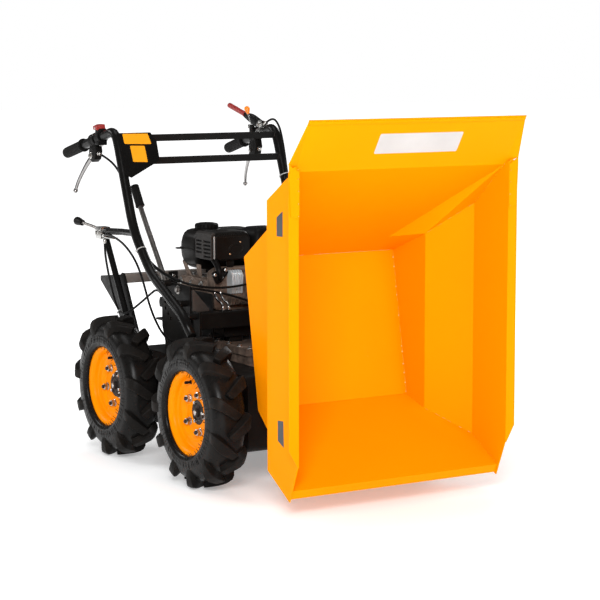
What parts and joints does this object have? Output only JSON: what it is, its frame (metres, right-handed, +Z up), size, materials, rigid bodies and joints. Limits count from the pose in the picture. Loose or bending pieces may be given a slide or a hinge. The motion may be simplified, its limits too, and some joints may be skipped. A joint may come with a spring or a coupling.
{
  "type": "walk-behind site dumper",
  "caption": "Walk-behind site dumper with rubber-tyred wheels on a chain-drive chassis, petrol engine, handlebar controls and a front-tipping steel tray shown tipped.",
  "frame": {"origin": "on the ground under the middle of the overall box", "axes": "-Y is the machine's front, +X its left, +Z up"},
  "size_m": [0.76, 1.525, 1.0136],
  "materials": {
    "tray_paint": "semi-gloss powder coat",
    "rim_paint": "semi-gloss powder coat",
    "frame_paint": "satin black",
    "bar_paint": "satin black tube",
    "steel": "zinc plated",
    "lever_steel": "polished",
    "hub_steel": "dark cast",
    "tyre": "matte",
    "casting": "as cast",
    "engine_black": "satin",
    "pulley_iron": "machined",
    "grip_rubber": "matte",
    "red_plastic": "satin",
    "orange_plastic": "satin",
    "black_plastic": "satin",
    "cable": "satin sheath"
  },
  "bodies": {
    "chassis": {"chain_case_left": "frame_paint", "chain_case_right": "frame_paint", "chain_case_covers": "frame_paint", "belly_plate": "frame_paint", "gearbox": "casting", "hinge_bracket_tube": "frame_paint", "hinge_pin": "steel", "cross_beam": "frame_paint", "engine_bed": "frame_paint", "rear_frame": "frame_paint", "side_plates": "frame_paint", "belt_guard": "frame_paint", "engine_block": "casting", "recoil_starter": "engine_black", "drive_pulley": "pulley_iron", "fuel_tank": "engine_black", "fuel_cap": "black_plastic", "air_cleaner": "engine_black", "muffler": "engine_black", "exhaust_pipe": "engine_black", "handlebar_left": "bar_paint", "handlebar_right": "bar_paint", "handlebar_crossbars": "bar_paint", "handle_grips": "grip_rubber", "control_panel": "frame_paint", "steering_lever_brackets": "frame_paint", "steering_levers": "lever_steel", "kill_switch": "black_plastic", "clutch_lever": "frame_paint", "clutch_lever_grip": "red_plastic", "throttle_lever": "orange_plastic", "tipping_lever": "steel", "tipping_lever_grip": "grip_rubber", "gear_bracket": "steel", "gear_stays": "frame_paint", "gear_lever": "black_plastic", "control_cables": "cable"},
    "tray": {"tray_floor": "tray_paint", "tray_side_left": "tray_paint", "tray_side_right": "tray_paint", "tray_rear_wall": "tray_paint", "tray_chute": "tray_paint", "tray_rear_flap": "tray_paint", "tray_hinge_lugs": "tray_paint"},
    "wheel_front_left": {"tyre_front_left": "tyre", "rim_front_left": "rim_paint", "hub_front_left": "hub_steel"},
    "wheel_front_right": {"tyre_front_right": "tyre", "rim_front_right": "rim_paint", "hub_front_right": "hub_steel"},
    "wheel_rear_left": {"tyre_rear_left": "tyre", "rim_rear_left": "rim_paint", "hub_rear_left": "hub_steel"},
    "wheel_rear_right": {"tyre_rear_right": "tyre", "rim_rear_right": "rim_paint", "hub_rear_right": "hub_steel"}
  },
  "joints": [
    {"name": "wheel_front_left_spin", "type": "hinge", "parent": "chassis", "child": "wheel_front_left", "pos_m": [0.325, -0.1825, 0.205], "axis": [1, 0, 0], "continuous": true},
    {"name": "wheel_front_right_spin", "type": "hinge", "parent": "chassis", "child": "wheel_front_right", "pos_m": [-0.325, -0.1825, 0.205], "axis": [1, 0, 0], "continuous": true},
    {"name": "wheel_rear_left_spin", "type": "hinge", "parent": "chassis", "child": "wheel_rear_left", "pos_m": [0.325, 0.3315, 0.205], "axis": [1, 0, 0], "continuous": true},
    {"name": "wheel_rear_right_spin", "type": "hinge", "parent": "chassis", "child": "wheel_rear_right", "pos_m": [-0.325, 0.3315, 0.205], "axis": [1, 0, 0], "continuous": true},
    {"name": "tray_tip", "type": "hinge", "parent": "chassis", "child": "tray", "pos_m": [0, -0.2225, 0.41], "axis": [-1, 0, 0], "range_deg": [0, 90]}
  ]
}
